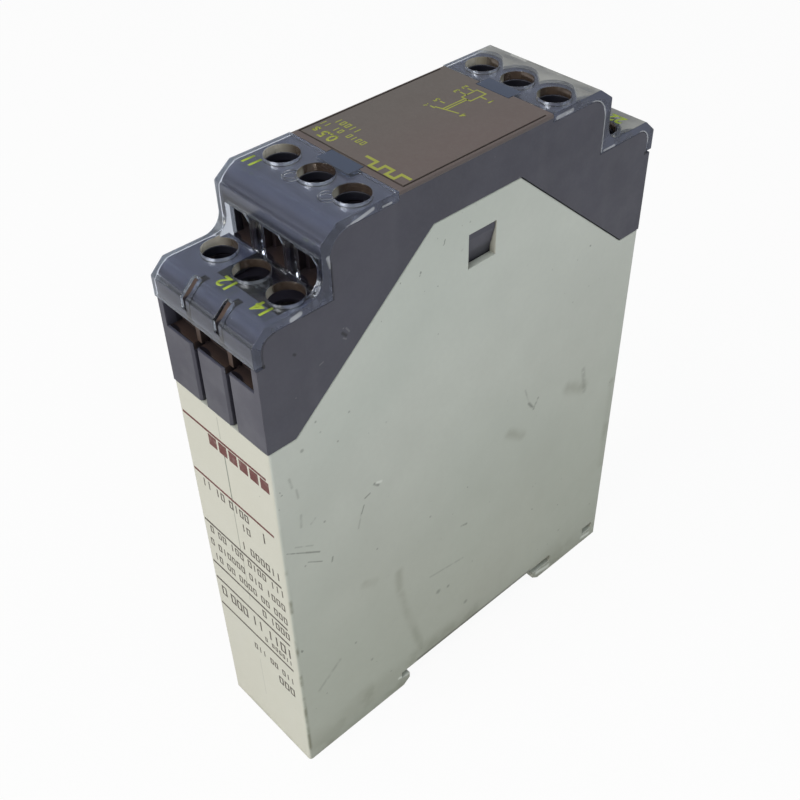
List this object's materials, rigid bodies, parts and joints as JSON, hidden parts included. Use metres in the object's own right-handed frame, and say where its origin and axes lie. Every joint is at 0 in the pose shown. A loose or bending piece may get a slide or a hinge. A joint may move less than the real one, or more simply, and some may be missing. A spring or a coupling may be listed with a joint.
{
  "type": "pulse relay",
  "caption": "Narrow rail-mounted pulse relay: pale base, stepped blue-grey terminal head, clear terminal covers, brown faceplate, sprung rail latch and screw clamps for the wires.",
  "frame": {"origin": "centre of the footprint, in the plane of the feet on the rail side", "axes": "+X across the narrow width, +Y from the front end to the end with the rail latch, +Z from the rail up to the faceplate"},
  "size_m": [0.0226, 0.0806, 0.108],
  "materials": {
    "base_plastic": "moulded, slightly soiled",
    "head_plastic": "moulded, fine satin grain",
    "plate_plastic": "satin, printed in yellow-green",
    "clear_plastic": "clear, polished",
    "block_plastic": "moulded, dark brown",
    "board_laminate": "paper laminate with tinned tracks",
    "latch_plastic": "moulded",
    "spring_steel": "bare spring strip",
    "relay_plastic": "smoky clear cap",
    "bobbin_plastic": "moulded",
    "copper_wire": "enamelled winding",
    "soft_iron": "nickel-plated",
    "contact_brass": "tinned",
    "clamp_steel": "zinc-plated",
    "screw_steel": "zinc-plated",
    "capacitor_plastic": "moulded box",
    "can_sleeve": "shrink sleeve on an aluminium can",
    "varistor_coat": "dipped coating",
    "chip_plastic": "moulded epoxy",
    "resistor_coat": "dipped coating"
  },
  "bodies": {
    "housing": {"base_housing": "base_plastic", "terminal_head": "head_plastic", "faceplate": "plate_plastic", "front_terminal_cover": "clear_plastic", "rear_terminal_cover": "clear_plastic", "front_terminal_block": "block_plastic", "rear_terminal_block": "block_plastic", "terminal_board": "board_laminate", "main_board": "board_laminate", "latch_spring": "spring_steel", "relay_base": "block_plastic", "relay_cap": "relay_plastic", "relay_bobbin": "bobbin_plastic", "relay_winding": "copper_wire", "relay_core": "soft_iron", "relay_yoke": "soft_iron", "resting_contact": "contact_brass", "working_contact": "contact_brass", "dropper_capacitor": "capacitor_plastic", "smoothing_capacitor": "can_sleeve", "timing_capacitor": "can_sleeve", "varistor": "varistor_coat", "control_chip": "chip_plastic", "transistor": "chip_plastic", "rectifier_diodes": "chip_plastic", "resistors": "resistor_coat", "clamp_box_front_upper_left": "clamp_steel", "contact_strip_front_upper_left": "contact_brass", "clamp_box_front_lower_middle": "clamp_steel", "contact_strip_front_lower_middle": "contact_brass", "clamp_box_front_lower_right": "clamp_steel", "contact_strip_front_lower_right": "contact_brass", "clamp_box_rear_lower_left": "clamp_steel", "contact_strip_rear_lower_left": "contact_brass", "clamp_box_rear_lower_middle": "clamp_steel", "contact_strip_rear_lower_middle": "contact_brass", "clamp_box_rear_lower_right": "clamp_steel", "contact_strip_rear_lower_right": "contact_brass"},
    "latch": {"din_latch": "latch_plastic"},
    "armature": {"relay_armature": "soft_iron", "moving_contact": "contact_brass"},
    "plate_front_upper_left": {"clamp_plate_front_upper_left": "clamp_steel"},
    "screw_front_upper_left": {"clamp_screw_front_upper_left": "screw_steel"},
    "plate_front_lower_middle": {"clamp_plate_front_lower_middle": "clamp_steel"},
    "screw_front_lower_middle": {"clamp_screw_front_lower_middle": "screw_steel"},
    "plate_front_lower_right": {"clamp_plate_front_lower_right": "clamp_steel"},
    "screw_front_lower_right": {"clamp_screw_front_lower_right": "screw_steel"},
    "plate_rear_lower_left": {"clamp_plate_rear_lower_left": "clamp_steel"},
    "screw_rear_lower_left": {"clamp_screw_rear_lower_left": "screw_steel"},
    "plate_rear_lower_middle": {"clamp_plate_rear_lower_middle": "clamp_steel"},
    "screw_rear_lower_middle": {"clamp_screw_rear_lower_middle": "screw_steel"},
    "plate_rear_lower_right": {"clamp_plate_rear_lower_right": "clamp_steel"},
    "screw_rear_lower_right": {"clamp_screw_rear_lower_right": "screw_steel"}
  },
  "joints": [
    {"name": "latch_slide", "type": "slide", "parent": "housing", "child": "latch", "axis": [0, 1, 0], "range_m": [0, 0.003], "stiffness_N_per_m": 800, "springref_m": -0.002, "deforming": ["latch_spring"]},
    {"name": "armature_tilt", "type": "hinge", "parent": "housing", "child": "armature", "pos_m": [0.0056, -0.0228, 0.052], "axis": [0, 0, -1], "range_deg": [0, 3], "stiffness_Nm_per_rad": 0.02, "springref_deg": -5.73},
    {"name": "plate_front_upper_left_lift", "type": "slide", "parent": "housing", "child": "plate_front_upper_left", "axis": [0, 0, 1], "range_m": [0, 0.0026]},
    {"name": "screw_front_upper_left_turn", "type": "hinge", "parent": "plate_front_upper_left", "child": "screw_front_upper_left", "pos_m": [-0.0073, -0.0195, 0.103], "axis": [0, 0, 1], "range_deg": [0, 1875]},
    {"name": "plate_front_lower_middle_lift", "type": "slide", "parent": "housing", "child": "plate_front_lower_middle", "axis": [0, 0, 1], "range_m": [0, 0.0026]},
    {"name": "screw_front_lower_middle_turn", "type": "hinge", "parent": "plate_front_lower_middle", "child": "screw_front_lower_middle", "pos_m": [0, -0.03145, 0.0933], "axis": [0, 0, 1], "range_deg": [0, 1875]},
    {"name": "plate_front_lower_right_lift", "type": "slide", "parent": "housing", "child": "plate_front_lower_right", "axis": [0, 0, 1], "range_m": [0, 0.0026]},
    {"name": "screw_front_lower_right_turn", "type": "hinge", "parent": "plate_front_lower_right", "child": "screw_front_lower_right", "pos_m": [0.0073, -0.03145, 0.0933], "axis": [0, 0, 1], "range_deg": [0, 1875]},
    {"name": "plate_rear_lower_left_lift", "type": "slide", "parent": "housing", "child": "plate_rear_lower_left", "axis": [0, 0, 1], "range_m": [0, 0.0026]},
    {"name": "screw_rear_lower_left_turn", "type": "hinge", "parent": "plate_rear_lower_left", "child": "screw_rear_lower_left", "pos_m": [-0.0073, 0.03145, 0.0933], "axis": [0, 0, 1], "range_deg": [0, 1875]},
    {"name": "plate_rear_lower_middle_lift", "type": "slide", "parent": "housing", "child": "plate_rear_lower_middle", "axis": [0, 0, 1], "range_m": [0, 0.0026]},
    {"name": "screw_rear_lower_middle_turn", "type": "hinge", "parent": "plate_rear_lower_middle", "child": "screw_rear_lower_middle", "pos_m": [0, 0.03145, 0.0933], "axis": [0, 0, 1], "range_deg": [0, 1875]},
    {"name": "plate_rear_lower_right_lift", "type": "slide", "parent": "housing", "child": "plate_rear_lower_right", "axis": [0, 0, 1], "range_m": [0, 0.0026]},
    {"name": "screw_rear_lower_right_turn", "type": "hinge", "parent": "plate_rear_lower_right", "child": "screw_rear_lower_right", "pos_m": [0.0073, 0.03145, 0.0933], "axis": [0, 0, 1], "range_deg": [0, 1875]}
  ],
  "couplings": [
    {"joint": "screw_front_upper_left_turn", "follows": "plate_front_upper_left_lift", "rad_per_m": 12566},
    {"joint": "screw_front_lower_middle_turn", "follows": "plate_front_lower_middle_lift", "rad_per_m": 12566},
    {"joint": "screw_front_lower_right_turn", "follows": "plate_front_lower_right_lift", "rad_per_m": 12566},
    {"joint": "screw_rear_lower_left_turn", "follows": "plate_rear_lower_left_lift", "rad_per_m": 12566},
    {"joint": "screw_rear_lower_middle_turn", "follows": "plate_rear_lower_middle_lift", "rad_per_m": 12566},
    {"joint": "screw_rear_lower_right_turn", "follows": "plate_rear_lower_right_lift", "rad_per_m": 12566}
  ]
}
